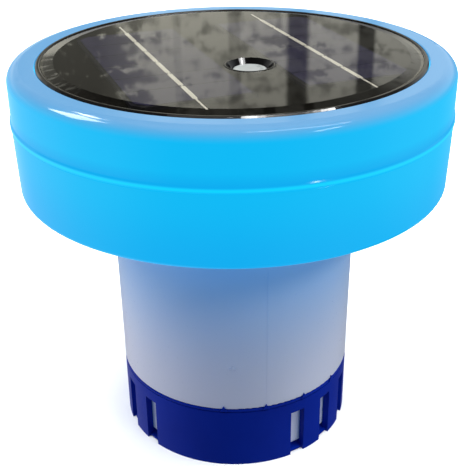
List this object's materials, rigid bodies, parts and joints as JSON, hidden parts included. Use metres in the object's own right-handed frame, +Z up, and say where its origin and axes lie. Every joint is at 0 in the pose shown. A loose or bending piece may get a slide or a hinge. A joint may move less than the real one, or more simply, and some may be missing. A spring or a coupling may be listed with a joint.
{
  "type": "floating chlorine dispenser",
  "caption": "Floating pool chlorine dispenser: solar-topped glowing float head with push button, screw-on tablet canister and turning vent collar.",
  "frame": {"origin": "middle of the face it stands on, at the foot of the vent collar", "axes": "+Z up along the canister's axis, -Y towards the collar's blank pad and the button, +X to the right seen from the front"},
  "size_m": [0.1804, 0.1804, 0.1699],
  "materials": {
    "float_blue": "glossy translucent moulding, lit from inside",
    "canister_white": "satin moulded",
    "collar_navy": "satin moulded",
    "panel_black": "high gloss",
    "clear_cover": "clear, glossy",
    "panel_laminate": "satin",
    "solar_cell": "silicon under film",
    "ribbon": "tinned ribbon",
    "button_white": "satin",
    "seal_rubber": "matte",
    "screw_steel": "satin",
    "board_green": "solder mask",
    "led_board_white": "white solder mask",
    "led_package": "clear-topped",
    "chip_black": "moulded epoxy",
    "passive_tan": "fired",
    "switch_black": "moulded",
    "plug_ivory": "moulded nylon",
    "cell_wrap": "shrink wrap",
    "holder_black": "moulded",
    "contact_nickel": "nickel plated",
    "lead_red": "insulation",
    "lead_black": "insulation"
  },
  "bodies": {
    "canister": {"canister": "canister_white"},
    "vent_collar": {"vent_collar": "collar_navy"},
    "neck_seal": {"neck_seal": "seal_rubber"},
    "head": {"upper_shell": "float_blue", "lower_shell": "float_blue", "shell_gasket": "seal_rubber", "shell_screws": "screw_steel", "panel_tray": "panel_black", "panel_cover": "clear_cover", "tray_gasket": "seal_rubber", "tray_screws": "screw_steel", "solar_panel_left": "panel_laminate", "solar_panel_right": "panel_laminate", "solar_cells_left": "solar_cell", "solar_cells_right": "solar_cell", "busbar_left": "ribbon", "busbar_right": "ribbon", "tact_switch": "switch_black", "main_board": "board_green", "main_board_screws": "screw_steel", "controller_chip": "chip_black", "charge_chip": "chip_black", "board_passives": "passive_tan", "lead_sockets": "plug_ivory", "led_board": "led_board_white", "led_board_screws": "screw_steel", "leds": "led_package", "battery_cell": "cell_wrap", "battery_holder": "holder_black", "battery_contact": "contact_nickel", "battery_spring": "contact_nickel", "panel_leads_red": "lead_red", "panel_leads_black": "lead_black", "battery_lead_red": "lead_red", "battery_lead_black": "lead_black", "led_lead_red": "lead_red", "led_lead_black": "lead_black"},
    "button": {"button_cap": "button_white", "button_seal": "seal_rubber", "switch_plunger": "switch_black"}
  },
  "joints": [
    {"name": "collar_turn", "type": "hinge", "parent": "canister", "child": "vent_collar", "pos_m": [0, 0, 0.0244], "axis": [0, 0, -1], "range_deg": [0, 60]},
    {"name": "head_twist", "type": "hinge", "parent": "canister", "child": "neck_seal", "pos_m": [0, 0, 0.1217], "axis": [0, 0, 1], "range_deg": [0, 720]},
    {"name": "head_lift", "type": "slide", "parent": "neck_seal", "child": "head", "axis": [0, 0, 1], "range_m": [0, 0.0901]},
    {"name": "button_press", "type": "slide", "parent": "head", "child": "button", "axis": [0, 0, -1], "range_m": [0, 0.0008], "stiffness_N_per_m": 400, "springref_m": -0.001}
  ],
  "couplings": [
    {"joint": "head_lift", "follows": "head_twist", "m_per_rad": 0.007162}
  ]
}
